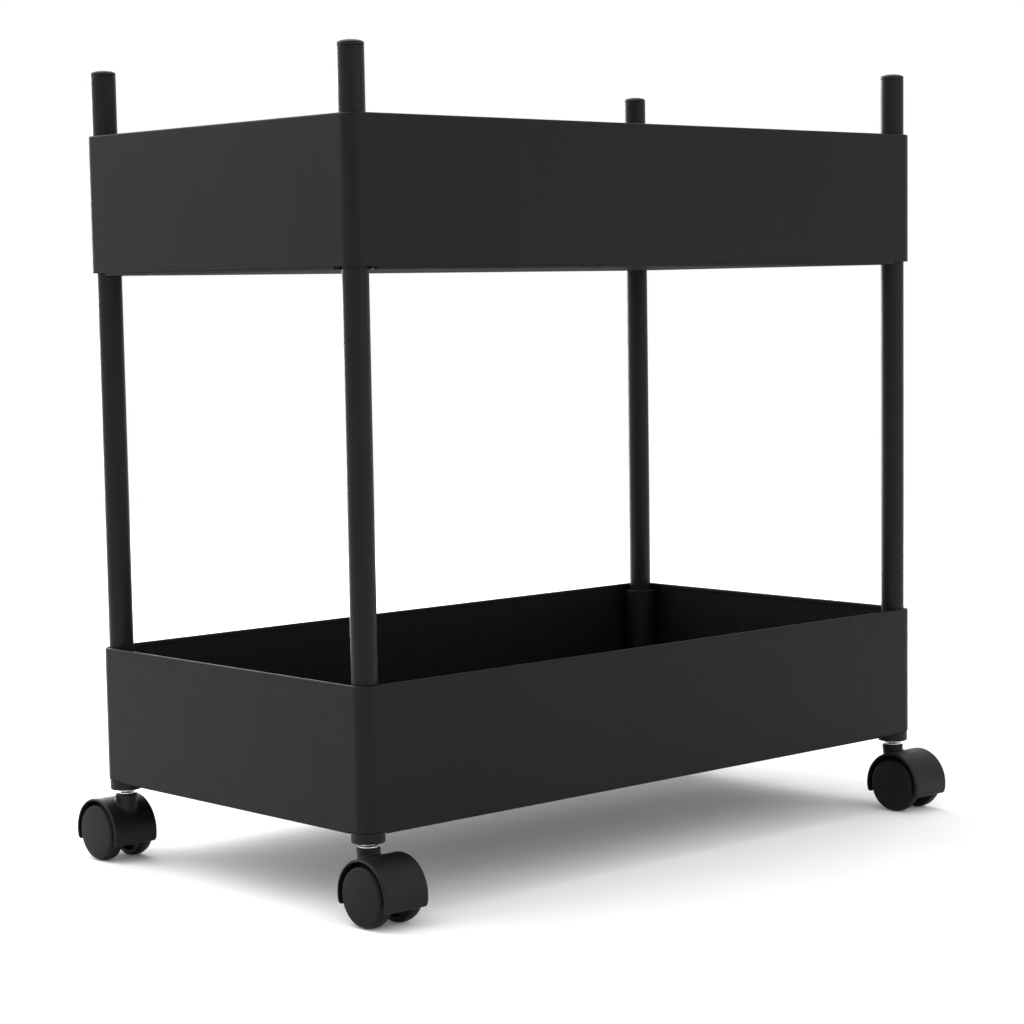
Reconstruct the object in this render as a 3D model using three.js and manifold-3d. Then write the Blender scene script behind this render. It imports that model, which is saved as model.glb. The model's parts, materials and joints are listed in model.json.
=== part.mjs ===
// Two-tier shelf cart: sheet-steel trays on four tubular posts, carried by four twin-wheel swivel casters.
// Millimetres, +Z up. The origin is on the floor under the middle of the trays; +X is the long side.
import * as THREE from 'three';
import { mergeVertices } from 'three/addons/utils/BufferGeometryUtils.js';
import Module from 'manifold-3d';

const wasm = await Module();
wasm.setup();

// ---- driving dimensions ----
const GAP = 0.3; // clearance between pieces that touch
const TRAY = {
  length: 533, // outside, along X
  depth: 288, // outside, along Y
  height: 94.5, // underside of the floor to the rim
  sheet: 1, // steel thickness
  cornerRadius: 10, // outside, in plan
  floorDrop: 2, // how far the floor pan hangs below the wall's lower edge
  hemThickness: 2.2, // folded rim, measured inwards
  hemHeight: 3,
};
const LOWER_TRAY_Z = 56; // underside of the lower tray above the floor
const TRAY_PITCH = 350.3; // lower tray to upper tray
const PAN = { flange: 11, bend: 1.5, cornerCut: 21, notchRadius: 12.4 }; // the notches clear the sleeves
const POST = { radius: 8.4, bore: 7.2, inset: 11, aboveRim: 40 };
const JOIN = { radius: 6.9, bore: 5.7, length: 25, intoTray: 46 }; // swaged end of the upper posts
const SLEEVE = { radius: 12, sheet: 1, belowRim: 4.7 };
const BUSH = { radius: 9.6, bore: 8.7 };
const CAP = { spigot: 12, flange: 1.5, dome: 2.2 };
const PLUG = { radius: 10.8, bottom: 50.7, chamfer: 0.8, spigot: 6.9, bore: 4.3, top: 82 };
const STEM = { radius: 4, bottom: 20, top: 76, collar: 6.5, collarZ: 47.8, collarHeight: 0.8 };
const WASHER = { radius: 7, height: 0.7 };
const WHEEL = {
  radius: 20,
  bore: 2.8,
  hub: 5.2,
  pocket: 16, // radius of the hollow on the inner side
  pocketFloor: 12.5,
  // distances from the middle of the caster, along the axle
  hubFace: 7.3,
  innerEdge: 7.6,
  shoulder: 17.2,
  discEdge: 18.1,
  outer: 18.7,
  crown: 1, // how much smaller the tread is at its edges
  discRadius: 17.7,
};
const HOOD = {
  radius: 24,
  cavity: 22.2,
  halfWidth: 18.1,
  edgeZ: 12.5, // lower edge of the hood above the floor
  hubTop: 47.5,
  hubRadius: 7.8,
  hubFoot: 5.2, // the hub tapers to this radius inside the barrel
  hubFootZ: 22.5,
  socket: 6.6,
  axleBoss: 6,
  ribHalf: 2,
  ribRadius: 11,
  trail: 13, // swivel axis to axle
};
const AXLE = { radius: 2.5, halfLength: 15.4 };

// round stretches: sides of a full turn
const SIDES = { tube: 16, small: 12, wheel: 24, hood: 32 };

const halfLength = TRAY.length / 2;
const halfDepth = TRAY.depth / 2;
const postX = halfLength - POST.inset;
const postY = halfDepth - POST.inset;
const lowerRim = LOWER_TRAY_Z + TRAY.height;
const upperRim = lowerRim + TRAY_PITCH;
const upperTrayZ = LOWER_TRAY_Z + TRAY_PITCH;
const postFoot = LOWER_TRAY_Z + TRAY.floorDrop + GAP;
const postJoint = upperTrayZ + JOIN.intoTray;
const postTop = upperRim + POST.aboveRim;

// ---- materials ----
const finish = (color, roughness, metalness) => ({ color, roughness, metalness });
const FINISHES = {
  trayCoat: finish(0x36393d, 0.45, 0.2),
  postCoat: finish(0x2f3236, 0.4, 0.2),
  blackPlastic: finish(0x1d1e20, 0.5, 0),
  hoodNylon: finish(0x2a2b2d, 0.45, 0),
  wheelNylon: finish(0x37393b, 0.4, 0),
  zinc: finish(0xc9ccd0, 0.3, 1),
};

// ---- shared helpers ----
function solidOf(geometry) {
  const bare = geometry.clone();
  bare.deleteAttribute('normal');
  bare.deleteAttribute('uv');
  const merged = mergeVertices(bare, 1e-4);
  const mesh = new wasm.Mesh({
    numProp: 3,
    vertProperties: Float32Array.from(merged.attributes.position.array),
    triVerts: Uint32Array.from(merged.index.array),
  });
  return new wasm.Manifold(mesh);
}

function geometryOf(solid) {
  const mesh = solid.getMesh();
  const geometry = new THREE.BufferGeometry();
  geometry.setAttribute('position', new THREE.BufferAttribute(mesh.vertProperties, 3));
  geometry.setIndex(new THREE.BufferAttribute(mesh.triVerts, 1));
  return geometry;
}

const join = (...geometries) =>
  geometryOf(geometries.map(solidOf).reduce((total, solid) => total.add(solid)));

const cut = (geometry, ...tools) =>
  geometryOf(tools.map(solidOf).reduce((total, tool) => total.subtract(tool), solidOf(geometry)));

const keepInside = (geometry, limit) => geometryOf(solidOf(geometry).intersect(solidOf(limit)));

// a plan outline raised from low to high
function raise(shape, low, high, curveSegments = 4) {
  const options = { depth: high - low, bevelEnabled: false, curveSegments };
  return new THREE.ExtrudeGeometry(shape, options).translate(0, 0, low);
}

// a profile of [radius, height] pairs, listed up the outside, turned about Z
function turn(profile, sides) {
  const points = profile.map(([radius, height]) => new THREE.Vector2(radius, height));
  return new THREE.LatheGeometry(points, sides).rotateX(Math.PI / 2);
}

function tube(bore, radius, low, high, sides) {
  return turn([[bore, low], [radius, low], [radius, high], [bore, high], [bore, low]], sides);
}

// a solid rod along X, centred on the Y-Z point given
function rodX(radius, halfWidth, y, z, sides) {
  const rod = new THREE.CylinderGeometry(radius, radius, 2 * halfWidth, sides);
  return rod.rotateZ(Math.PI / 2).translate(0, y, z);
}

// the tray's plan outline, moved inwards by an inset
function trayOutline(inset, Type = THREE.Shape) {
  const x = halfLength - inset;
  const y = halfDepth - inset;
  const r = TRAY.cornerRadius - inset;
  const outline = new Type();
  outline.absarc(x - r, y - r, r, 0, Math.PI / 2);
  outline.absarc(-x + r, y - r, r, Math.PI / 2, Math.PI);
  outline.absarc(-x + r, -y + r, r, Math.PI, 1.5 * Math.PI);
  outline.absarc(x - r, -y + r, r, 1.5 * Math.PI, 2 * Math.PI);
  outline.closePath();
  return outline;
}

function trayBand(thickness, low, high) {
  const ring = trayOutline(0);
  ring.holes.push(trayOutline(thickness, THREE.Path));
  return raise(ring, low, high);
}

// ---- trays ----
// wall band with a safety hem folded inwards along the rim
function trayWall(z) {
  const rim = z + TRAY.height;
  const hemLow = rim - TRAY.hemHeight;
  return join(
    trayBand(TRAY.sheet, z + TRAY.floorDrop, hemLow + 1),
    trayBand(TRAY.hemThickness, hemLow, rim),
  );
}

// one up-turned edge of the floor pan, run along X and centred, its outer face at y
function panFlange(length, y) {
  const { bend, flange } = PAN;
  const side = new THREE.Shape();
  side.moveTo(bend + 1, 0);
  side.lineTo(bend + 1, TRAY.sheet);
  side.lineTo(bend, TRAY.sheet);
  side.absarc(bend, bend, bend - TRAY.sheet, 1.5 * Math.PI, Math.PI, true);
  side.lineTo(TRAY.sheet, flange);
  side.lineTo(0, flange);
  side.lineTo(0, bend);
  side.absarc(bend, bend, bend, Math.PI, 1.5 * Math.PI);
  side.closePath();
  const strip = raise(side, -length / 2, length / 2, 3);
  strip.rotateX(Math.PI / 2).rotateZ(Math.PI / 2);
  return strip.translate(0, y, 0);
}

// floor pan: flat sheet cut round the posts, with a flange up each side
function trayFloor(z) {
  const edgeX = halfLength - TRAY.sheet - GAP;
  const edgeY = halfDepth - TRAY.sheet - GAP;
  const flatX = edgeX - PAN.bend;
  const flatY = edgeY - PAN.bend;
  const notch = PAN.notchRadius;
  const swing = Math.acos((flatX - postX) / notch);
  const plan = new THREE.Shape();
  for (let corner = 0; corner < 4; corner += 1) {
    const turnBack = (corner * Math.PI) / 2;
    const x = corner === 1 || corner === 2 ? -postX : postX;
    const y = corner > 1 ? -postY : postY;
    plan.absarc(x, y, notch, turnBack - swing, turnBack + Math.PI / 2 + swing - 2 * Math.PI, true);
  }
  plan.closePath();
  const longRun = 2 * (halfLength - PAN.cornerCut);
  const shortRun = 2 * (halfDepth - PAN.cornerCut);
  const sides = [
    panFlange(longRun, -edgeY),
    panFlange(longRun, -edgeY).rotateZ(Math.PI),
    panFlange(shortRun, -edgeX).rotateZ(Math.PI / 2),
    panFlange(shortRun, -edgeX).rotateZ(-Math.PI / 2),
  ];
  const sheet = raise(plan, 0, TRAY.sheet, 8);
  return join(sheet, ...sides).translate(0, 0, z);
}

// C-shaped sleeve welded into a corner: the open side faces the corner of the wall band at -X -Y
function cornerSleeve(z) {
  const { radius, sheet, belowRim } = SLEEVE;
  const wallFace = POST.inset - TRAY.sheet - GAP;
  const reach = Math.acos(wallFace / radius);
  const start = -Math.PI / 2 + reach;
  const end = Math.PI - reach;
  const plan = new THREE.Shape();
  plan.absarc(0, 0, radius, start, end);
  plan.absarc(0, 0, radius - sheet, end, start, true);
  plan.closePath();
  return raise(plan, z + TRAY.floorDrop + GAP, z + TRAY.height - belowRim, 10);
}

function cornerBush(z) {
  const low = z + TRAY.floorDrop + 2 * GAP;
  return tube(BUSH.bore, BUSH.radius, low, z + TRAY.height - SLEEVE.belowRim - 1, SIDES.tube);
}

// ---- posts ----
const lowerPost = () => tube(POST.bore, POST.radius, postFoot, postJoint, SIDES.tube);

// tube with a swaged lower end that plugs into the post below
function upperPost() {
  const shoulder = postJoint + GAP;
  const foot = postJoint - JOIN.length;
  return turn([
    [JOIN.bore, foot],
    [JOIN.radius, foot],
    [JOIN.radius, shoulder],
    [POST.radius, shoulder],
    [POST.radius, postTop],
    [POST.bore, postTop],
    [POST.bore, shoulder + 2],
    [JOIN.bore, shoulder],
    [JOIN.bore, foot],
  ], SIDES.tube);
}

function postCap() {
  const seat = postTop + GAP;
  const shoulder = seat + CAP.flange;
  return turn([
    [0, seat - CAP.spigot],
    [JOIN.radius, seat - CAP.spigot],
    [JOIN.radius, seat],
    [POST.radius, seat],
    [POST.radius, shoulder],
    [0.88 * POST.radius, shoulder + 0.55 * CAP.dome],
    [0.5 * POST.radius, shoulder + 0.9 * CAP.dome],
    [0, shoulder + CAP.dome],
  ], SIDES.tube);
}

// ---- casters, built about the swivel axis with the axle trailing towards -Y ----
function footPlug() {
  const { radius, bottom, chamfer, spigot, bore, top } = PLUG;
  const flangeTop = postFoot - 2 * GAP;
  return turn([
    [0, STEM.top + 1.5],
    [bore, STEM.top + 1.5],
    [bore, bottom],
    [radius - chamfer, bottom],
    [radius, bottom + chamfer],
    [radius, flangeTop],
    [spigot, flangeTop],
    [spigot, top],
    [0, top],
  ], SIDES.tube);
}

function casterStem() {
  const { radius, bottom, top, collar, collarZ, collarHeight } = STEM;
  return turn([
    [0, bottom],
    [radius, bottom],
    [radius, collarZ],
    [collar, collarZ],
    [collar, collarZ + collarHeight],
    [radius, collarZ + collarHeight],
    [radius, top],
    [0, top],
  ], SIDES.small);
}

function casterWasher() {
  const top = PLUG.bottom - GAP;
  return tube(STEM.radius + GAP, WASHER.radius, top - WASHER.height, top, SIDES.small);
}

// hood with a stem socket, an axle boss and a centre rib between the two wheels
function casterHood() {
  const { radius, cavity, halfWidth, edgeZ, hubTop, hubFootZ, trail } = HOOD;
  const y = -trail;
  const z = WHEEL.radius;
  const belowEdge = new THREE.BoxGeometry(4 * radius, 4 * radius, 2 * edgeZ);
  const shell = cut(
    rodX(radius, halfWidth, y, z, SIDES.hood),
    rodX(cavity, halfWidth + 1, y, z, SIDES.hood),
    belowEdge,
  );
  const inside = rodX(radius - GAP, halfWidth - 1, y, z, SIDES.hood);
  const socket = new THREE.CylinderGeometry(HOOD.socket, HOOD.socket, hubTop, SIDES.tube);
  socket.rotateX(Math.PI / 2).translate(0, 0, hubTop / 2 + edgeZ);
  const rib = join(
    cut(rodX(radius - GAP, HOOD.ribHalf, y, z, SIDES.hood), belowEdge),
    rodX(HOOD.ribRadius, HOOD.ribHalf, y, z, SIDES.wheel),
  );
  const hub = cut(
    turn([
      [0, hubFootZ],
      [HOOD.hubFoot, hubFootZ],
      [HOOD.hubRadius, hubTop],
      [0, hubTop],
    ], SIDES.tube),
    rodX(cavity, 2 * halfWidth, y, z, SIDES.hood),
  );
  const body = join(
    shell,
    keepInside(socket, inside),
    rib,
    hub,
    rodX(HOOD.axleBoss, WHEEL.hubFace - 0.4, y, z, SIDES.small),
  );
  const stemBore = new THREE.CylinderGeometry(PLUG.bore, PLUG.bore, hubTop, SIDES.small);
  stemBore.rotateX(Math.PI / 2).translate(0, 0, hubTop / 2 + STEM.bottom - 2 * GAP);
  return cut(body, stemBore, rodX(WHEEL.bore, halfWidth, y, z, SIDES.small));
}

const casterAxle = () => rodX(AXLE.radius, AXLE.halfLength, -HOOD.trail, WHEEL.radius, SIDES.small);

// wheel on the +X side of the hood: crowned tread, domed outer disc, pocket on the inner side
function casterWheel() {
  const { radius, bore, hub, pocket, pocketFloor, innerEdge, shoulder, outer } = WHEEL;
  const boreEnd = AXLE.halfLength + GAP;
  const profile = [
    [0, boreEnd],
    [bore, boreEnd],
    [bore, WHEEL.hubFace],
    [hub, WHEEL.hubFace],
    [hub, pocketFloor],
    [pocket, pocketFloor],
    [pocket, innerEdge],
  ];
  const treadSteps = 4;
  for (let step = 0; step <= treadSteps; step += 1) {
    const across = (2 * step) / treadSteps - 1;
    const along = innerEdge + ((across + 1) / 2) * (shoulder - innerEdge);
    profile.push([radius - WHEEL.crown * Math.abs(across) ** 3, along]);
  }
  profile.push([WHEEL.discRadius, WHEEL.discEdge], [radius / 2, outer - 0.15], [0, outer]);
  return turn(profile, SIDES.wheel).rotateX(-Math.PI / 2).rotateZ(-Math.PI / 2);
}

// ---- assembly ----
const cart = new THREE.Group();

function add(parent, name, geometry, look) {
  const mesh = new THREE.Mesh(geometry, new THREE.MeshStandardMaterial(look));
  mesh.name = name;
  parent.add(mesh);
  return mesh;
}

const TIERS = [['lower', LOWER_TRAY_Z], ['upper', upperTrayZ]];
const CORNERS = [
  { name: 'front_left', x: -postX, y: -postY, facing: 0, trailTurn: 0 },
  { name: 'front_right', x: postX, y: -postY, facing: Math.PI / 2, trailTurn: 0 },
  { name: 'rear_right', x: postX, y: postY, facing: Math.PI, trailTurn: Math.PI },
  { name: 'rear_left', x: -postX, y: postY, facing: 1.5 * Math.PI, trailTurn: Math.PI },
];

for (const [tier, z] of TIERS) {
  add(cart, `${tier}_tray_wall`, trayWall(z), FINISHES.trayCoat);
  add(cart, `${tier}_tray_floor`, trayFloor(z), FINISHES.trayCoat);
}

for (const corner of CORNERS) {
  const place = new THREE.Group();
  place.position.set(corner.x, corner.y, 0);
  place.rotation.z = corner.facing;
  cart.add(place);
  for (const [tier, z] of TIERS) {
    add(place, `${tier}_sleeve_${corner.name}`, cornerSleeve(z), FINISHES.trayCoat);
    add(place, `${tier}_bush_${corner.name}`, cornerBush(z), FINISHES.blackPlastic);
  }
  add(place, `lower_post_${corner.name}`, lowerPost(), FINISHES.postCoat);
  add(place, `upper_post_${corner.name}`, upperPost(), FINISHES.postCoat);
  add(place, `post_cap_${corner.name}`, postCap(), FINISHES.blackPlastic);
  add(place, `foot_plug_${corner.name}`, footPlug(), FINISHES.blackPlastic);
  add(place, `caster_washer_${corner.name}`, casterWasher(), FINISHES.zinc);
  add(place, `caster_stem_${corner.name}`, casterStem(), FINISHES.zinc);

  const caster = new THREE.Group();
  caster.position.set(corner.x, corner.y, 0);
  caster.rotation.z = corner.trailTurn;
  cart.add(caster);
  add(caster, `caster_hood_${corner.name}`, casterHood(), FINISHES.hoodNylon);
  add(caster, `caster_axle_${corner.name}`, casterAxle(), FINISHES.zinc);
  const outerSide = Math.sign(corner.x) * Math.cos(corner.trailTurn);
  for (const [which, side] of [['outer', outerSide], ['inner', -outerSide]]) {
    const wheel = add(caster, `${which}_wheel_${corner.name}`, casterWheel(), FINISHES.wheelNylon);
    wheel.position.set(0, -HOOD.trail, WHEEL.radius);
    wheel.rotation.z = side > 0 ? 0 : Math.PI;
  }
}

export default cart;
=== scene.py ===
"""Two-tier shelf cart: folded steel trays on tubular posts, carried by four twin-wheel swivel casters.

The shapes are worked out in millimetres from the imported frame, and go to Blender in metres. Every piece
stands for one CAD node, rides on that node's body and lies where that node lies.
"""

import json
import math

import bmesh
import bpy
import numpy as np
from mathutils import Matrix, Vector


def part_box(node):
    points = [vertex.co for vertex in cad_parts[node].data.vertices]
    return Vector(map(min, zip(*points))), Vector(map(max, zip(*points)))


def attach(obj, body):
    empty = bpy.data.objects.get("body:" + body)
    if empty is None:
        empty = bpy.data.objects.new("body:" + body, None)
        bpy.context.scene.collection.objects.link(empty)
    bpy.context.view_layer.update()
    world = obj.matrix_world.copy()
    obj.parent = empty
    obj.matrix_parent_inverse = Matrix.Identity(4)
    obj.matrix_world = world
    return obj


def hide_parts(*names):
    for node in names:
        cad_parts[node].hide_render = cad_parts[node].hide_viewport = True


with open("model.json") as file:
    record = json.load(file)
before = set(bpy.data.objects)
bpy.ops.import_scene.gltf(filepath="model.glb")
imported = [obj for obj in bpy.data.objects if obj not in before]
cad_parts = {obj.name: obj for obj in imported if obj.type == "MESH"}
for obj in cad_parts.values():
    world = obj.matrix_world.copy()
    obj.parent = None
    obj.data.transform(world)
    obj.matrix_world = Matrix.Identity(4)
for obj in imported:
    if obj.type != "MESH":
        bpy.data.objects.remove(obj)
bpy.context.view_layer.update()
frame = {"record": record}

# ---- sizes in millimetres that a node's box doesn't give ----
# They repeat the CAD model's driving dimensions, except where a comment says otherwise.
MM = 0.001
GAP = 0.3  # clearance between pieces that touch
TRAY = {
    "sheet": 1.0,
    "corner_radius": 10.0,
    "hem": 2.2,
    "hem_height": 3.0,
    "hem_seam": 0.2,
    "seam_depth": 0.55,  # where the seam ends, as a share of the hem's height from the rim
}
# the pan's corners reach further under the sleeves than in the CAD, so that no light shows past them
PAN = {"bend": 1.5, "corner_cut": 20.1, "notch_radius": 11.1}
POST = {"bore": 7.2, "joint_radius": 6.9, "joint_bore": 5.7, "joint_length": 25.0, "taper": 2.0}
# foot is how far a sleeve reaches below its CAD node, down to the pan
SLEEVE = {"radius": 12.0, "sheet": 1.0, "foot": 1.1}
BUSH_BORE = 8.7
CAP = {"spigot": 12.0, "flange": 1.5, "spigot_radius": 6.9, "spigot_taper": 0.3}
PLUG = {
    "spigot": 6.9,
    "bore": 4.3,
    "bore_past_stem": 1.5,
    "barb": 0.15,
    "barb_lip": 0.3,
    "barb_length": 2.5,
    "barb_pitch": 5.0,
}
STEM = {
    "radius": 4.0,
    "collar_z": 47.8,
    "collar_height": 0.8,
    "thread_from": 51.2,
    "pitch": 1.25,
    "thread_depth": 0.42,
    "tip_chamfer": 0.5,
    "tip_inset": 0.3,
}
WASHER_BORE = 4.3
AXLE_RADIUS = 2.5
WHEEL = {
    "bore": 2.8,
    "hub": 5.2,
    "pocket": 16.0,
    "pocket_floor": 12.5,
    "hub_face": 7.3,
    "inner_edge": 7.6,
    # the outer edge is rounded from the shoulder to the disc's edge, more softly than the CAD's chamfer
    "shoulder": 16.4,
    "disc_edge": 18.0,
    "disc_radius": 16.9,
    "crown": 1.0,  # how much smaller the tread is at its edges
}
HOOD = {
    "radius": 24.0,
    "cavity": 22.2,
    "edge_z": 12.5,
    "hub_radius": 7.8,
    "hub_foot": 5.2,
    "hub_foot_z": 22.5,
    "socket": 6.6,
    "boss": 6.0,
    "boss_gap": 0.4,  # between the boss and a wheel's hub
    "rib_half": 2.0,
    "rib_radius": 11.0,
    "end_rounding": 2.2,
    "corner_rounding": 3.0,  # at the lower corners of both ends
    "saddle": 2.0,  # reach of the fillet between hub and barrel
    "cell": 0.65,  # size of the mesh's cells
}
# radii of rounded edges
EDGE = {
    "sheet": 0.35,
    "pan": 0.22,
    "hem_fold": 1.05,
    "hem_lip": 0.4,
    "hem_seam": 0.2,
    "tube": 0.3,
    "tube_bore": 0.2,
    "tube_lead": 0.6,
    "tube_swage": 0.5,
    "moulding": 0.4,
    "moulding_fine": 0.25,
    "plug": 0.9,
    "plug_bore": 0.3,
    "plug_tip": 0.8,
    "cap_tip": 0.6,
    "shank": 0.5,
    "collar": 0.25,
    "washer": 0.2,
    "wheel": 0.6,
    "wheel_bore": 0.3,
    "wheel_hub": 0.4,
    "wheel_pocket": 0.9,
}
# blends of the hood: reach of each rounded edge or fillet
BLEND = {"hub_top": 1.2, "shell": 0.7, "rib": 1.2, "skirt": 1.0, "cheek": 0.8, "boss": 0.6, "bore": 0.5}
SIDES = {"post": 64, "small": 48, "wheel": 112}
CORNERS = ("front_left", "front_right", "rear_right", "rear_left")
TIERS = ("lower", "upper")


# ---- the frame in millimetres ----
def extent(node):
    """Lowest and highest corner of a CAD node."""
    low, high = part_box(node)
    return np.array(low) / MM, np.array(high) / MM


def levels(node):
    low, high = extent(node)
    return low[2], high[2]


def post_place(corner):
    low, high = extent(f"lower_post_{corner}")
    return (low + high) / 2 * np.array((1, 1, 0))


BODY_OF = {
    node: body for body, nodes in frame["record"]["behaviour"]["bodies"].items() for node in nodes
}


# ---- outlines ----
def rounded(corners, steps=5):
    """The closed outline through (x, y, radius) corners, each turned into an arc of its radius."""
    points = []
    for index, (x, y, radius) in enumerate(corners):
        here = np.array((x, y), float)
        if radius <= 0:
            points.append(here)
            continue
        before = np.array(corners[index - 1][:2]) - here
        after = np.array(corners[(index + 1) % len(corners)][:2]) - here
        before = before / np.linalg.norm(before)
        after = after / np.linalg.norm(after)
        half = math.acos(np.clip(before @ after, -1, 1)) / 2
        sweep = math.pi - 2 * half
        middle = before + after
        centre = here + middle / np.linalg.norm(middle) * radius / math.sin(half)
        start = here + before * radius / math.tan(half) - centre
        end = here + after * radius / math.tan(half) - centre
        for step in range(steps + 1):
            share = step / steps
            arm = start * math.sin((1 - share) * sweep) + end * math.sin(share * sweep)
            points.append(centre + arm / math.sin(sweep))
    return np.array(points)


# ---- meshes: points in millimetres and faces as index lists ----
def skin(rings, around=True, along=False, caps=False):
    """A surface through rings of points that all have the same number of points."""
    rings = np.array(rings)
    count, size = rings.shape[:2]
    faces = []
    for ring in range(count if along else count - 1):
        this, other = ring * size, (ring + 1) % count * size
        for point in range(size if around else size - 1):
            after = (point + 1) % size
            faces.append((this + point, this + after, other + after, other + point))
    if caps:
        faces.append(tuple(range(size))[::-1])
        faces.append(tuple(range((count - 1) * size, count * size)))
    return rings.reshape(-1, 3), faces


def circle(radius, height, sides):
    angles = np.linspace(0, 2 * math.pi, sides, endpoint=False)
    radius = radius(angles) if callable(radius) else np.full(sides, radius)
    return np.stack((radius * np.cos(angles), radius * np.sin(angles), np.full(sides, height)), 1)


def lathe(profile, sides, closed=False):
    """A profile of (radius, height) points turned about Z, from axis to axis unless it is closed."""
    return skin([circle(radius, height, sides) for radius, height in profile], along=closed)


def along_x(points, side=1):
    """Turns a shape built about Z so that Z runs along X, towards the side given."""
    return np.stack((points[:, 2] * side, points[:, 0], points[:, 1] * side), 1)


def surface_net(distance, low, high, cell):
    """A closed quad mesh of the surface where the distance function is zero."""
    axes = [np.arange(a - 2 * cell, b + 3 * cell, cell) for a, b in zip(low, high)]
    grid = np.stack(np.meshgrid(*axes, indexing="ij"), -1)
    field = distance(grid)
    shape = np.array(field.shape) - 1
    offsets = [(i, j, k) for i in (0, 1) for j in (0, 1) for k in (0, 1)]

    def corner(values, offset):
        i, j, k = offset
        return values[i:shape[0] + i, j:shape[1] + j, k:shape[2] + k]

    total = np.zeros((*shape, 3))
    hits = np.zeros(shape)
    for first in offsets:
        for axis in range(3):
            if first[axis]:
                continue
            second = tuple(value + (n == axis) for n, value in enumerate(first))
            a, b = corner(field, first), corner(field, second)
            crosses = (a < 0) != (b < 0)
            share = np.where(crosses, a / np.where(crosses, a - b, 1), 0)[..., None]
            place = corner(grid, first) * (1 - share) + corner(grid, second) * share
            total += place * crosses[..., None]
            hits += crosses
    active = hits > 0
    points = total[active] / hits[active][:, None]
    index = np.full(shape, -1)
    index[active] = np.arange(len(points))
    faces = []
    for axis in range(3):
        one, two = (axis + 1) % 3, (axis + 2) % 3
        ahead = np.roll(field, -1, axis)
        inside, leaves = field < 0, ahead < 0
        crossing = inside != leaves
        crossing[tuple(slice(-1, None) if n == axis else slice(None) for n in range(3))] = False
        spots = np.argwhere(crossing)
        spots = spots[(spots[:, one] > 0) & (spots[:, two] > 0)]
        back_one, back_two = np.eye(3, dtype=int)[one], np.eye(3, dtype=int)[two]
        around = (spots, spots - back_one, spots - back_one - back_two, spots - back_two)
        quads = np.stack([index[tuple(spot.T)] for spot in around], 1)
        flip = ~inside[tuple(spots.T)]
        quads[flip] = quads[flip][:, ::-1]
        faces.append(quads)
    faces = np.concatenate(faces)
    return settle(points, faces, distance, cell), faces.tolist()


def settle(points, faces, distance, cell, rounds=4):
    """Evens the mesh out and lays its points on the surface."""
    step = cell / 50
    flattest = 0.05  # smallest slope squared to divide by, where fillets flatten the distance

    def onto_surface(points):
        slope = np.stack(
            [distance(points + step * axis) - distance(points - step * axis) for axis in np.eye(3)], -1
        ) / (2 * step)
        size = np.maximum((slope**2).sum(-1, keepdims=True), flattest)
        move = -distance(points)[..., None] * slope / size
        return points + np.clip(move, -cell / 2, cell / 2)

    edges = np.concatenate([faces[:, [n, (n + 1) % 4]] for n in range(4)])
    neighbours = np.bincount(edges[:, 0], minlength=len(points))
    for _ in range(rounds):
        mean = np.stack(
            [np.bincount(edges[:, 0], points[edges[:, 1], n], len(points)) for n in range(3)], 1
        ) / neighbours[:, None]
        points = onto_surface(points + 0.5 * (mean - points))
    return onto_surface(points)


# ---- materials ----
class Nodes:
    """A short way to write a node tree."""

    def __init__(self, tree):
        self.tree = tree
        tree.nodes.clear()

    def add(self, kind, inputs=(), **settings):
        node = self.tree.nodes.new("ShaderNode" + kind)
        for key, value in settings.items():
            setattr(node, key, value)
        for socket, value in dict(inputs).items():
            if isinstance(value, bpy.types.NodeSocket):
                self.tree.links.new(value, node.inputs[socket])
            else:
                node.inputs[socket].default_value = value
        return node

    def noise(self, where, size, detail=2.0, stretch=None):
        """Soft noise whose patches are about this size in millimetres."""
        if stretch:
            where = self.add("Mapping", {"Vector": where, "Scale": stretch}).outputs["Vector"]
        inputs = {"Vector": where, "Scale": 1 / (size * MM), "Detail": detail}
        return self.add("TexNoise", inputs).outputs["Fac"]

    def ranged(self, value, low, high, from_low=0.3, from_high=0.7):
        inputs = {"Value": value, "To Min": low, "To Max": high, "From Min": from_low, "From Max": from_high}
        return self.add("MapRange", inputs).outputs["Result"]

    def mixed(self, share, first, second):
        node = self.add("Mix", {"Factor": share}, data_type="RGBA")
        for socket, value in (("A", first), ("B", second)):
            target = next(s for s in node.inputs if s.name == socket and s.type == "RGBA")
            if isinstance(value, bpy.types.NodeSocket):
                self.tree.links.new(value, target)
            else:
                target.default_value = value
        return next(s for s in node.outputs if s.type == "RGBA")


def tint(colour, factor):
    return (*(channel * factor for channel in colour), 1.0)


EDGE_BEND = (0.505, 0.56)  # pointiness from a flat face to a sharp edge
EDGE_TONE = 2.2  # how much lighter a worn edge is
EDGE_POLISH = 0.12  # how much smoother it is
CLOUD_SIZE = 11.0  # patches of tone and gloss, in millimetres
CLOUD_TONE = (0.84, 1.16)
DOWNWARD = (-0.8, -0.4)  # the upright part of the normal, from faces that point down to all others
UNDERSIDE_PAINTED_LIGHT = 3.2  # painted light: how much lighter the colour is made on faces that point down, standing in for light from below


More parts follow.
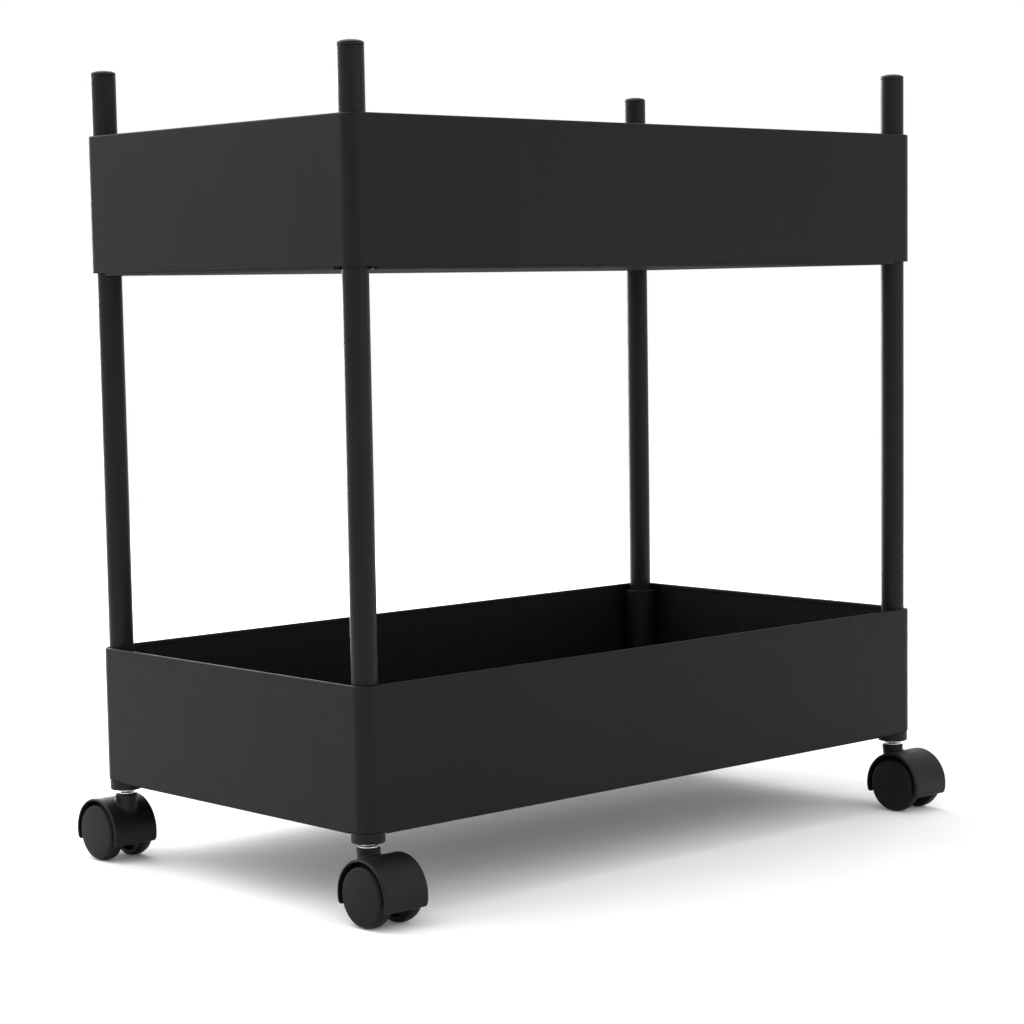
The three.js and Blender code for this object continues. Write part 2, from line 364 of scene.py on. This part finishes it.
def surface(name, colour, rough, specular, grain, wave, wear, metallic=0.0, stretch=None, underside=None):
    """A procedural finish.

    colour is linear, rough is (lowest, highest), grain and wave are (size, height) in millimetres, and
    wear is how far edges get lighter and smoother. stretch scales the grain along each axis. underside is
    the share of the gloss that is left on faces that point down. It also paints light onto those faces by
    making their colour lighter; without it they are like the others.
    """
    material = bpy.data.materials.new(name)
    material.use_nodes = True
    nodes = Nodes(material.node_tree)
    where = nodes.add("TexCoord").outputs["Object"]
    fine = nodes.noise(where, grain[0], 3.0, stretch)
    broad = nodes.noise(where, wave[0], 2.0)
    cloud = nodes.noise(where, CLOUD_SIZE, 4.0)
    geometry = nodes.add("NewGeometry").outputs
    edge = nodes.ranged(geometry["Pointiness"], 0.0, wear, *EDGE_BEND)
    toned = nodes.mixed(cloud, *(tint(colour, factor) for factor in CLOUD_TONE))
    coat = nodes.mixed(edge, toned, tint(colour, EDGE_TONE))
    gloss = specular
    if underside is not None:
        facing = nodes.add("SeparateXYZ", {0: geometry["Normal"]}).outputs["Z"]
        gloss = nodes.ranged(facing, underside * specular, specular, *DOWNWARD)
        # painted light: faces that point down get a lighter colour, standing in for light from below
        coat = nodes.mixed(nodes.ranged(facing, 0.0, 1.0, *DOWNWARD), tint(colour, UNDERSIDE_PAINTED_LIGHT), coat)
    satin = nodes.ranged(cloud, *rough)
    smoothed = nodes.add("Math", {0: edge, 1: -EDGE_POLISH}, operation="MULTIPLY").outputs[0]
    roughness = nodes.add("Math", {0: satin, 1: smoothed}, operation="ADD").outputs[0]
    wavy = nodes.add("Bump", {"Height": broad, "Distance": wave[1] * MM, "Strength": 1.0}).outputs[0]
    grained = {"Height": fine, "Distance": grain[1] * MM, "Strength": 1.0, "Normal": wavy}
    shader = nodes.add(
        "BsdfPrincipled",
        {
            "Base Color": coat,
            "Roughness": roughness,
            "Metallic": metallic,
            "Specular IOR Level": gloss,
            "Normal": nodes.add("Bump", grained).outputs[0],
        },
    )
    nodes.add("OutputMaterial", {"Surface": shader.outputs["BSDF"]})
    return material


# one finish for each of the record's slots
FINISHES = {
    "tray_coat": {
        "name": "satin_powder_coat",
        "colour": (0.0048, 0.0050, 0.0056),
        "rough": (0.40, 0.50),
        "specular": 0.115,
        "grain": (1.1, 0.020),
        "wave": (60, 0.25),
        "wear": 0.30,
        # faces that point down keep this share of the gloss, and get painted light as a lighter colour
        "underside": 0.004,
    },
    "post_coat": {
        "name": "post_powder_coat",
        "colour": (0.0042, 0.0044, 0.0049),
        "rough": (0.34, 0.44),
        "specular": 0.13,
        "grain": (1.0, 0.018),
        "wave": (90, 0.10),
        "wear": 0.25,
    },
    "black_plastic": {
        "name": "moulded_black_plastic",
        "colour": (0.0045, 0.0045, 0.0047),
        "rough": (0.42, 0.55),
        "specular": 0.15,
        "grain": (0.5, 0.012),
        "wave": (12, 0.05),
        "wear": 0.35,
    },
    "hood_nylon": {
        "name": "hood_nylon",
        "colour": (0.0052, 0.0052, 0.0056),
        "rough": (0.40, 0.52),
        "specular": 0.17,
        "grain": (0.6, 0.014),
        "wave": (14, 0.08),
        "wear": 0.10,
    },
    "wheel_nylon": {
        "name": "wheel_nylon",
        "colour": (0.0052, 0.0052, 0.0056),
        "rough": (0.40, 0.52),
        "specular": 0.12,
        "grain": (0.6, 0.012),
        "wave": (16, 0.08),
        "wear": 0.08,
    },
    "zinc": {
        "name": "bright_zinc",
        "colour": (0.62, 0.64, 0.67),
        "rough": (0.18, 0.34),
        "specular": 0.5,
        "grain": (0.5, 0.006),
        "wave": (4, 0.02),
        "wear": 0.2,
        "metallic": 1.0,
        "stretch": (1, 1, 12),
    },
}
MATERIALS = {slot: surface(**finish) for slot, finish in FINISHES.items()}


def piece(name, node, shape, slot, place=(0, 0, 0), turn=0.0):
    """Makes a piece that stands for a CAD node, turned about Z and moved to its place."""
    points, faces = shape
    cos, sin = math.cos(turn), math.sin(turn)
    spin = np.array(((cos, -sin, 0), (sin, cos, 0), (0, 0, 1)))
    points = (points @ spin.T + np.array(place)) * MM
    mesh = bpy.data.meshes.new(name)
    mesh.from_pydata(points.tolist(), [], faces)
    tidy = bmesh.new()
    tidy.from_mesh(mesh)
    bmesh.ops.remove_doubles(tidy, verts=tidy.verts, dist=0.002 * MM)
    bmesh.ops.recalc_face_normals(tidy, faces=tidy.faces)
    tidy.to_mesh(mesh)
    tidy.free()
    mesh.shade_smooth()
    mesh.materials.append(MATERIALS[slot])
    made = bpy.data.objects.new(name, mesh)
    bpy.context.scene.collection.objects.link(made)
    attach(made, BODY_OF[node])
    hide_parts(node)
    return made


def even_shading(made):
    """Lets the broad faces set the shading, so that only the rounded edges turn the light."""
    normals = made.modifiers.new("even_shading", "WEIGHTED_NORMAL")
    normals.weight = 100
    normals.keep_sharp = True


# ---- trays ----
def wall_band(low, high):
    """Folded wall: a sheet band round the tray, with its rim hemmed inwards and a seam under the hem."""
    sheet, hem, seam = TRAY["sheet"], TRAY["hem"], TRAY["hem_seam"]
    hem_low = high[2] - TRAY["hem_height"]
    seam_top = high[2] - TRAY["seam_depth"] * TRAY["hem_height"]
    section = rounded([
        (0, low[2], EDGE["sheet"]),
        (sheet, low[2], EDGE["sheet"]),
        (sheet, seam_top, 0),
        (sheet + seam, seam_top, 0),
        (sheet + seam, hem_low, EDGE["hem_seam"]),
        (hem, hem_low, EDGE["hem_lip"]),
        (hem, high[2], EDGE["hem_fold"]),
        (0, high[2], EDGE["hem_fold"]),
    ])
    radius = TRAY["corner_radius"]
    centre_x, centre_y = high[0] - radius, high[1] - radius
    arc_steps, run_steps = 18, 24
    stations = []
    for quarter, (side_x, side_y) in enumerate(((1, 1), (-1, 1), (-1, -1), (1, -1))):
        for step in range(arc_steps + 1):
            angle = (quarter + step / arc_steps) * math.pi / 2
            stations.append((side_x * centre_x, side_y * centre_y, angle))
    rings = []
    for index, (x, y, angle) in enumerate(stations):
        following = stations[(index + 1) % len(stations)]
        straight = following[:2] != (x, y)
        for step in range(run_steps if straight else 1):
            share = step / run_steps
            at_x = x + (following[0] - x) * share
            at_y = y + (following[1] - y) * share
            reach = radius - section[:, 0]
            rings.append(np.stack(
                (at_x + reach * math.cos(angle), at_y + reach * math.sin(angle), section[:, 1]), 1
            ))
    return skin(rings, along=True)


def floor_pan(name, node, low, high):
    """Floor pan: one sheet cut round the posts, with a flange bent up along each side."""
    sheet = TRAY["sheet"]
    bend = PAN["bend"] - sheet / 2
    edge = np.array((high[0] - sheet / 2, high[1] - sheet / 2))
    flat = edge - bend
    floor_z = low[2] + sheet / 2
    posts = post_place("rear_right")[:2]
    wall = np.array(extent("lower_tray_wall")[1][:2])
    run = wall - PAN["corner_cut"]
    notch = PAN["notch_radius"]
    swing_x = math.acos((flat[0] - posts[0]) / notch)
    swing_y = math.acos((flat[1] - posts[1]) / notch)
    arc_steps, bend_steps, run_steps = 20, 6, 16

    net = bmesh.new()
    outline, flanges = [], []
    for quarter in range(4):
        half_turn = quarter * math.pi / 2
        sign = np.array((1 if quarter in (0, 3) else -1, 1 if quarter in (0, 1) else -1))
        first, last = (swing_x, swing_y) if quarter % 2 == 0 else (swing_y, swing_x)
        start, end = half_turn - first, half_turn + math.pi / 2 + last - 2 * math.pi
        for step in range(arc_steps + 1):
            angle = start + (end - start) * step / arc_steps
            x, y = sign * posts + notch * np.array((math.cos(angle), math.sin(angle)))
            outline.append(net.verts.new((x, y, floor_z)))
        out = np.array((math.cos(half_turn + math.pi / 2), math.sin(half_turn + math.pi / 2)))
        way = np.array((-out[1], out[0]))
        reach = abs(out) @ flat
        half_run = abs(way) @ run
        strip = []
        for step in range(run_steps + 1):
            x, y = out * reach + way * half_run * (2 * step / run_steps - 1)
            strip.append(net.verts.new((x, y, floor_z)))
        outline += strip
        flanges.append((strip, out))
    net.faces.new(outline)
    for strip, out in flanges:
        rows = [strip]
        for step in range(1, bend_steps + 1):
            angle = step / bend_steps * math.pi / 2
            shift = np.array((*(out * bend * math.sin(angle)), bend * (1 - math.cos(angle))))
            rows.append([net.verts.new(np.array(vert.co) + shift) for vert in strip])
        for height in np.linspace(floor_z + bend, high[2], 5)[1:]:
            rows.append([net.verts.new((vert.co[0], vert.co[1], height)) for vert in rows[-1]])
        for row, above in zip(rows, rows[1:]):
            for n in range(run_steps):
                net.faces.new((row[n], row[n + 1], above[n + 1], above[n]))
    net.verts.index_update()
    points = np.array([vert.co for vert in net.verts])
    faces = [tuple(vert.index for vert in face.verts) for face in net.faces]
    net.free()
    made = piece(name, node, (points, faces), "tray_coat")
    thicken = made.modifiers.new("sheet", "SOLIDIFY")
    thicken.thickness = sheet * MM
    thicken.offset = 0
    thicken.use_even_offset = True
    soften = made.modifiers.new("cut_edges", "BEVEL")
    soften.width = EDGE["pan"] * MM
    soften.segments = 2
    soften.limit_method = "ANGLE"
    soften.angle_limit = math.radians(50)
    even_shading(made)
    return made


def corner_sleeve(low_z, high_z):
    """C-shaped sleeve whose open side faces the corner of the wall band at -X -Y."""
    radius, sheet = SLEEVE["radius"], SLEEVE["sheet"]
    inset = extent("lower_tray_wall")[1][0] - post_place("rear_right")[0]
    reach = math.acos((inset - TRAY["sheet"] - GAP) / radius)
    start, end = -math.pi / 2 + reach, math.pi - reach
    rounding, end_steps, arc_steps = EDGE["sheet"], 4, 40
    sharpening = 0.8  # how fast the section's corners tighten as it shrinks towards an end

    def ring(angle, shrink):
        inner, outer = radius - sheet + shrink, radius - shrink
        corner = rounding - sharpening * shrink
        section = rounded([
            (inner, low_z + shrink, corner),
            (outer, low_z + shrink, corner),
            (outer, high_z - shrink, corner),
            (inner, high_z - shrink, corner),
        ])
        return np.stack(
            (section[:, 0] * math.cos(angle), section[:, 0] * math.sin(angle), section[:, 1]), 1
        )

    ends = []
    for step in range(end_steps):
        swing = step / end_steps * math.pi / 2
        ends.append((rounding * (1 - math.cos(swing)) / radius, rounding * (1 - math.sin(swing))))
    stations = [(start + offset, shrink) for offset, shrink in ends]
    lead = rounding / radius
    stations += [(angle, 0) for angle in np.linspace(start + lead, end - lead, arc_steps)]
    stations += [(end - offset, shrink) for offset, shrink in reversed(ends)]
    return skin([ring(angle, shrink) for angle, shrink in stations], caps=True)


def corner_bush(low_z, high_z, radius):
    profile = rounded([
        (BUSH_BORE, low_z, EDGE["moulding_fine"]),
        (radius, low_z, EDGE["moulding"]),
        (radius, high_z, EDGE["moulding"]),
        (BUSH_BORE, high_z, EDGE["moulding"]),
    ])
    return lathe(profile, SIDES["post"], closed=True)


# ---- posts ----
def lower_post(low_z, high_z, radius):
    profile = rounded([
        (POST["bore"], low_z, EDGE["tube_bore"]),
        (radius, low_z, EDGE["tube"]),
        (radius, high_z, EDGE["tube"]),
        (POST["bore"], high_z, EDGE["tube_bore"]),
    ])
    return lathe(profile, SIDES["post"], closed=True)


def upper_post(low_z, high_z, radius):
    """Tube whose swaged lower end plugs into the post below."""
    shoulder = low_z + POST["joint_length"] + GAP
    profile = rounded([
        (POST["joint_bore"], low_z, EDGE["tube_bore"]),
        (POST["joint_radius"], low_z, EDGE["tube_lead"]),
        (POST["joint_radius"], shoulder, EDGE["tube"]),
        (radius, shoulder, EDGE["tube_swage"]),
        (radius, high_z, EDGE["tube"]),
        (POST["bore"], high_z, EDGE["tube_bore"]),
        (POST["bore"], shoulder + POST["taper"], EDGE["tube_swage"]),
        (POST["joint_bore"], shoulder, EDGE["tube_swage"]),
    ])
    return lathe(profile, SIDES["post"], closed=True)


def post_cap(low_z, high_z, radius):
    """Push-in cap: tapered spigot, flange and a shallow dome."""
    seat = low_z + CAP["spigot"]
    spigot = CAP["spigot_radius"]
    shoulder = seat + CAP["flange"]
    dome_steps = 14
    profile = list(rounded([
        (0, low_z, 0),
        (spigot - CAP["spigot_taper"], low_z, EDGE["cap_tip"]),
        (spigot, seat, 0),
        (radius, seat, EDGE["moulding_fine"]),
        (radius, shoulder, 0),
    ]))
    for step in range(1, dome_steps + 1):
        angle = step / dome_steps * math.pi / 2
        profile.append((radius * math.cos(angle), shoulder + (high_z - shoulder) * math.sin(angle)))
    return lathe(profile, SIDES["post"])


# ---- casters, built about the swivel axis with the axle trailing towards -Y ----
def foot_plug(low_z, high_z, radius, stem_top):
    """Plug in the post's foot: a collar below, a barbed spigot above and a bore for the stem."""
    flange_top = levels("lower_post_front_left")[0] - 2 * GAP
    spigot = PLUG["spigot"]
    bore_end = stem_top + PLUG["bore_past_stem"]
    barbs = []
    height = flange_top + PLUG["barb_pitch"]
    while height < high_z - PLUG["barb_pitch"]:
        barbs.append((spigot, height, 0))
        barbs.append((spigot + PLUG["barb"], height + PLUG["barb_lip"], 0))
        barbs.append((spigot, height + PLUG["barb_length"], 0))
        height += PLUG["barb_pitch"]
    profile = rounded([
        (0, bore_end, 0),
        (PLUG["bore"], bore_end, 0),
        (PLUG["bore"], low_z, EDGE["plug_bore"]),
        (radius, low_z, EDGE["plug"]),
        (radius, flange_top, EDGE["plug_bore"]),
        (spigot, flange_top, 0),
        *barbs,
        (spigot, high_z, EDGE["plug_tip"]),
        (0, high_z, 0),
    ])
    return lathe(profile, SIDES["post"])


def caster_stem(low_z, high_z, collar):
    """Zinc stem: plain shank, collar and a rolled thread above."""
    radius = STEM["radius"]
    collar_low, collar_high = STEM["collar_z"], STEM["collar_z"] + STEM["collar_height"]
    pitch, depth = STEM["pitch"], STEM["thread_depth"]
    sides = SIDES["small"]

    def thread(height):
        run_in = np.clip((height - STEM["thread_from"]) / pitch, 0, 1)
        run_out = np.clip((high_z - height) / pitch, 0, 1)

        def at(angles):
            turn = (height / pitch - angles / (2 * math.pi)) % 1
            return radius - depth * run_in * run_out * (0.5 + 0.5 * np.cos(2 * math.pi * turn))

        return at

    plain = rounded([
        (0, low_z, 0),
        (radius, low_z, EDGE["shank"]),
        (radius, collar_low, 0),
        (collar, collar_low, EDGE["collar"]),
        (collar, collar_high, EDGE["collar"]),
        (radius, collar_high, 0),
        (radius, STEM["thread_from"], 0),
    ], 3)
    rings = [circle(r, z, sides) for r, z in plain]
    step = pitch / 8
    for height in np.arange(STEM["thread_from"] + step, high_z - STEM["tip_chamfer"], step):
        rings.append(circle(thread(height), height, sides))
    rings.append(circle(radius - depth - STEM["tip_inset"], high_z, sides))
    rings.append(circle(0, high_z, sides))
    return skin(rings)


def washer(low_z, high_z, radius):
    edge = EDGE["washer"]
    profile = rounded([
        (WASHER_BORE, low_z, edge),
        (radius, low_z, edge),
        (radius, high_z, edge),
        (WASHER_BORE, high_z, edge),
    ], 3)
    return lathe(profile, SIDES["small"], closed=True)


def blend_min(a, b, reach):
    """The union of two distances, with a fillet of this reach between them."""
    share = np.maximum(reach - np.abs(a - b), 0) / reach
    return np.minimum(a, b) - share * share * reach / 4


def blend_max(a, b, reach):
    return -blend_min(-a, -b, reach)


def round_max(a, b, radius):
    """The part inside both distances, with their shared edge rounded to this radius."""
    a, b = a + radius, b + radius
    return np.hypot(np.maximum(a, 0), np.maximum(b, 0)) + np.minimum(np.maximum(a, b), 0) - radius


def hood_distance(half_width, hub_top, axle_y, axle_z, stem_low):
    """Distance function of the hood: half barrel, tapered hub, centre rib, stem socket and axle boss."""
    sheathed = HOOD["radius"] - 1  # rib and socket end inside the shell

    def distance(points):
        x, y, z = np.moveaxis(points, -1, 0)
        out = np.abs(x)
        turn = np.hypot(y - axle_y, z - axle_z)
        stem = np.hypot(x, y)
        barrel = round_max(out - half_width, turn - HOOD["radius"], HOOD["end_rounding"])
        rise = np.clip((z - HOOD["hub_foot_z"]) / (hub_top - HOOD["hub_foot_z"]), 0, 1)
        hub = stem - (HOOD["hub_foot"] + (HOOD["hub_radius"] - HOOD["hub_foot"]) * rise)
        hub = blend_max(hub, z - hub_top, BLEND["hub_top"])
        outside = blend_min(barrel, hub, HOOD["saddle"])
        shell = blend_max(outside, HOOD["cavity"] - turn, BLEND["shell"])
        rib = np.maximum(out - HOOD["rib_half"], turn - sheathed)
        socket = np.maximum(stem - HOOD["socket"], turn - sheathed)
        body = blend_min(blend_min(shell, rib, BLEND["rib"]), socket, BLEND["rib"])
        skirt = round_max(out - half_width, HOOD["edge_z"] - z, HOOD["corner_rounding"])
        body = blend_max(body, skirt, BLEND["skirt"])
        cheek = blend_max(out - HOOD["rib_half"], turn - HOOD["rib_radius"], BLEND["cheek"])
        boss_end = WHEEL["hub_face"] - HOOD["boss_gap"]
        boss = blend_max(out - boss_end, turn - HOOD["boss"], BLEND["boss"])
        body = blend_min(body, blend_min(cheek, boss, BLEND["cheek"]), BLEND["cheek"])
        stem_bore = np.maximum(stem - PLUG["bore"], stem_low - 2 * GAP - z)
        axle_bore = turn - WHEEL["bore"]
        return blend_max(body, -np.minimum(stem_bore, axle_bore), BLEND["bore"])

    return distance


def caster_axle(half_length):
    profile = rounded([
        (0, -half_length, 0),
        (AXLE_RADIUS, -half_length, EDGE["shank"]),
        (AXLE_RADIUS, half_length, EDGE["shank"]),
        (0, half_length, 0),
    ])
    points, faces = lathe(profile, SIDES["small"])
    return along_x(points), faces


def caster_wheel(side, radius, outer, bore_end):
    """Moulded wheel: crowned tread, domed outer disc, and a hollow round the hub on the inner side."""
    inner, shoulder, crown = WHEEL["inner_edge"], WHEEL["shoulder"], WHEEL["crown"]
    edge_radius = radius - crown
    inside = rounded([
        (0, bore_end, 0),
        (WHEEL["bore"], bore_end, EDGE["wheel_bore"]),
        (WHEEL["bore"], WHEEL["hub_face"], EDGE["wheel_bore"]),
        (WHEEL["hub"], WHEEL["hub_face"], EDGE["wheel_hub"]),
        (WHEEL["hub"], WHEEL["pocket_floor"], EDGE["wheel_pocket"]),
        (WHEEL["pocket"], WHEEL["pocket_floor"], EDGE["wheel_pocket"]),
        (WHEEL["pocket"], inner, EDGE["wheel_hub"]),
        (edge_radius, inner, EDGE["wheel"]),
        (radius, (inner + shoulder) / 2, 0),
    ])[:-1]
    tread_steps, dome_steps = 22, 14
    tread = []
    for step in range(1, tread_steps + 1):
        across = 2 * step / tread_steps - 1
        along = inner + (across + 1) / 2 * (shoulder - inner)
        tread.append((radius - crown * abs(across) ** 3, along))
    clear_of_edge = inside[-1][1] + 0.2
    tread = [point for point in tread if point[1] > clear_of_edge]
    edge, rim = WHEEL["disc_edge"], WHEEL["disc_radius"]
    corner = [
        (rim + (edge_radius - rim) * math.cos(a), shoulder + (edge - shoulder) * math.sin(a))
        for a in np.linspace(0, math.pi / 2, 7)[1:]
    ]
    dome = []
    for step in range(1, dome_steps + 1):
        share = 1 - step / dome_steps
        dome.append((rim * share, outer - (outer - edge) * share**2))
    points, faces = lathe([*inside, *tread, *corner, *dome], SIDES["wheel"])
    return along_x(points, side), faces


# ---- assembly ----
def build_trays():
    for tier in TIERS:
        wall, floor = f"{tier}_tray_wall", f"{tier}_tray_floor"
        even_shading(piece(f"{tier}_wall_band", wall, wall_band(*extent(wall)), "tray_coat"))
        floor_pan(f"{tier}_floor_pan", floor, *extent(floor))


def build_corner(corner):
    place = post_place(corner)
    facing = CORNERS.index(corner) * math.pi / 2

    def add(name, node, shape, slot):
        even_shading(piece(f"{name}_{corner}", f"{node}_{corner}", shape, slot, place, facing))

    def radius_of(node):
        low, high = extent(f"{node}_{corner}")
        return (high[0] - low[0]) / 2

    for tier in TIERS:
        sleeve, bush = f"{tier}_sleeve", f"{tier}_bush"
        foot, head = levels(f"{sleeve}_{corner}")
        add(f"{tier}_corner_sleeve", sleeve, corner_sleeve(foot - SLEEVE["foot"], head), "tray_coat")
        bush_shape = corner_bush(*levels(f"{bush}_{corner}"), radius_of(bush))
        add(f"{tier}_corner_bush", bush, bush_shape, "black_plastic")
    post_radius = radius_of("lower_post")
    add("lower_tube", "lower_post", lower_post(*levels(f"lower_post_{corner}"), post_radius), "post_coat")
    add("upper_tube", "upper_post", upper_post(*levels(f"upper_post_{corner}"), post_radius), "post_coat")
    add("tube_cap", "post_cap", post_cap(*levels(f"post_cap_{corner}"), post_radius), "black_plastic")
    stem_levels = levels(f"caster_stem_{corner}")
    plug = foot_plug(*levels(f"foot_plug_{corner}"), radius_of("foot_plug"), stem_levels[1])
    add("foot_insert", "foot_plug", plug, "black_plastic")
    add("threaded_stem", "caster_stem", caster_stem(*stem_levels, radius_of("caster_stem")), "zinc")
    ring = washer(*levels(f"caster_washer_{corner}"), radius_of("caster_washer"))
    add("flat_washer", "caster_washer", ring, "zinc")


def build_caster(corner, hood_shape):
    place = post_place(corner)
    low, high = extent(f"caster_axle_{corner}")
    axle = (low + high) / 2
    trailing = 0.0 if axle[1] < place[1] else math.pi
    hood = piece(f"twin_hood_{corner}", f"caster_hood_{corner}", hood_shape, "hood_nylon", place, trailing)
    even_shading(hood)
    pin = caster_axle((high[0] - low[0]) / 2)
    even_shading(piece(f"axle_pin_{corner}", f"caster_axle_{corner}", pin, "zinc", axle))
    for which in ("outer", "inner"):
        node = f"{which}_wheel_{corner}"
        wheel_low, wheel_high = extent(node)
        side = 1 if wheel_low[0] > axle[0] else -1
        reach = wheel_high[0] - axle[0] if side > 0 else axle[0] - wheel_low[0]
        bore_end = (high[0] - low[0]) / 2 + GAP
        shape = caster_wheel(side, (wheel_high[2] - wheel_low[2]) / 2, reach, bore_end)
        even_shading(piece(f"{which}_nylon_wheel_{corner}", node, shape, "wheel_nylon", axle))


def hood_mesh(corner):
    """The hood's mesh about its swivel axis, with the axle towards -Y."""
    low, high = extent(f"caster_hood_{corner}")
    axle_low, axle_high = extent(f"caster_axle_{corner}")
    place = post_place(corner)
    axle = (axle_low + axle_high) / 2 - place
    stem_low = levels(f"caster_stem_{corner}")[0]
    distance = hood_distance((high[0] - low[0]) / 2, high[2], axle[1], axle[2], stem_low)
    return surface_net(distance, low - place, high - place, HOOD["cell"])


build_trays()
shared_hood = hood_mesh("front_left")
for corner_name in CORNERS:
    build_corner(corner_name)
    build_caster(corner_name, shared_hood)

# ---- camera ----
CAMERA = {
    "eye": (-1.2899, -1.4030, 0.3920),
    "heading": 47.750,  # degrees from +X towards +Y
    "pitch": -6.211,
    "roll": -0.963,
    "lens": 93.50,
    "shift": (0.0068, 0.0664),
}


def make_camera():
    heading, pitch, roll = (math.radians(CAMERA[key]) for key in ("heading", "pitch", "roll"))
    forward = Vector((
        math.cos(heading) * math.cos(pitch),
        math.sin(heading) * math.cos(pitch),
        math.sin(pitch),
    ))
    level = Vector((math.sin(heading), -math.cos(heading), 0))
    right = level * math.cos(roll) + level.cross(forward) * math.sin(roll)
    up = right.cross(forward)
    data = bpy.data.cameras.new("studio_camera")
    data.lens = CAMERA["lens"]
    data.shift_x, data.shift_y = CAMERA["shift"]
    data.clip_end = 50
    camera = bpy.data.objects.new("studio_camera", data)
    axes = Matrix((right, up, -forward)).transposed().to_4x4()
    camera.matrix_world = Matrix.Translation(CAMERA["eye"]) @ axes
    bpy.context.scene.collection.objects.link(camera)
    bpy.context.scene.camera = camera


# ---- studio ----
SWEEP = {"radius": 6.0, "solid": 1.6, "gone": 3.2, "albedo": 0.86}
SKY = {"bright_side": (-0.67, 0.74, 0.15), "dim": 1.05, "bright": 1.2}
KEY = {"place": (-0.3, 1.2, 2.0), "aim": (0, 0, 0.1), "size": 3.4, "power": 95}
FILL = {"place": (0.5, -2.4, 1.1), "aim": (0, -0.1, 0), "size": 2.2, "power": 12}
BACK = {"place": (0.5, 2.4, 0.35), "aim": (0.1, 0, 0), "size": 1.6, "power": 70}


def make_floor():
    """A pale floor that fades into the white surround."""
    sides = 96
    rim = circle(SWEEP["radius"] / MM, 0, sides) * MM
    mesh = bpy.data.meshes.new("studio_floor")
    mesh.from_pydata(rim.tolist(), [], [tuple(range(sides))])
    floor = bpy.data.objects.new("studio_floor", mesh)
    bpy.context.scene.collection.objects.link(floor)
    material = bpy.data.materials.new("studio_floor")
    material.use_nodes = True
    nodes = Nodes(material.node_tree)
    where = nodes.add("TexCoord").outputs["Object"]
    away = nodes.add("VectorMath", {0: where}, operation="LENGTH").outputs["Value"]
    fade = nodes.ranged(away, 0.0, 1.0, SWEEP["solid"], SWEEP["gone"])
    speckle = nodes.ranged(nodes.noise(where, 40, 3.0), SWEEP["albedo"] - 0.01, SWEEP["albedo"] + 0.01)
    paper = nodes.add("BsdfDiffuse", {"Color": speckle, "Roughness": 0.5})
    clear = nodes.add("BsdfTransparent")
    mix = nodes.add("MixShader", {0: fade, 1: paper.outputs[0], 2: clear.outputs[0]})
    nodes.add("OutputMaterial", {"Surface": mix.outputs[0]})
    mesh.materials.append(material)


def make_surround():
    """White behind the object, and light that is brightest from the far left."""
    world = bpy.data.worlds.new("studio")
    world.use_nodes = True
    bpy.context.scene.world = world
    nodes = Nodes(world.node_tree)
    way = nodes.add("TexCoord").outputs["Generated"]
    side = Vector(SKY["bright_side"]).normalized()
    facing = nodes.add("VectorMath", {0: way, 1: side}, operation="DOT_PRODUCT").outputs["Value"]
    strength = nodes.ranged(facing, SKY["dim"], SKY["bright"], -1.0, 1.0)
    light = nodes.add("Background", {"Color": (1.0, 1.0, 1.0, 1.0), "Strength": strength})
    white = nodes.add("Background", {"Color": (1.0, 1.0, 1.0, 1.0), "Strength": 1.0})
    seen = nodes.add("LightPath").outputs["Is Camera Ray"]
    mix = nodes.add("MixShader", {0: seen, 1: light.outputs[0], 2: white.outputs[0]})
    nodes.add("OutputWorld", {"Surface": mix.outputs[0]})


def make_light(name, place, aim, size, power):
    data = bpy.data.lights.new(name, "AREA")
    data.size = size
    data.energy = power
    lamp = bpy.data.objects.new(name, data)
    lamp.location = place
    lamp.rotation_euler = (Vector(aim) - Vector(place)).to_track_quat("-Z", "Y").to_euler()
    bpy.context.scene.collection.objects.link(lamp)


make_camera()
make_floor()
make_surround()
make_light("key_light", **KEY)
make_light("fill_light", **FILL)
make_light("back_light", **BACK)
bpy.context.scene.view_settings.view_transform = "Standard"
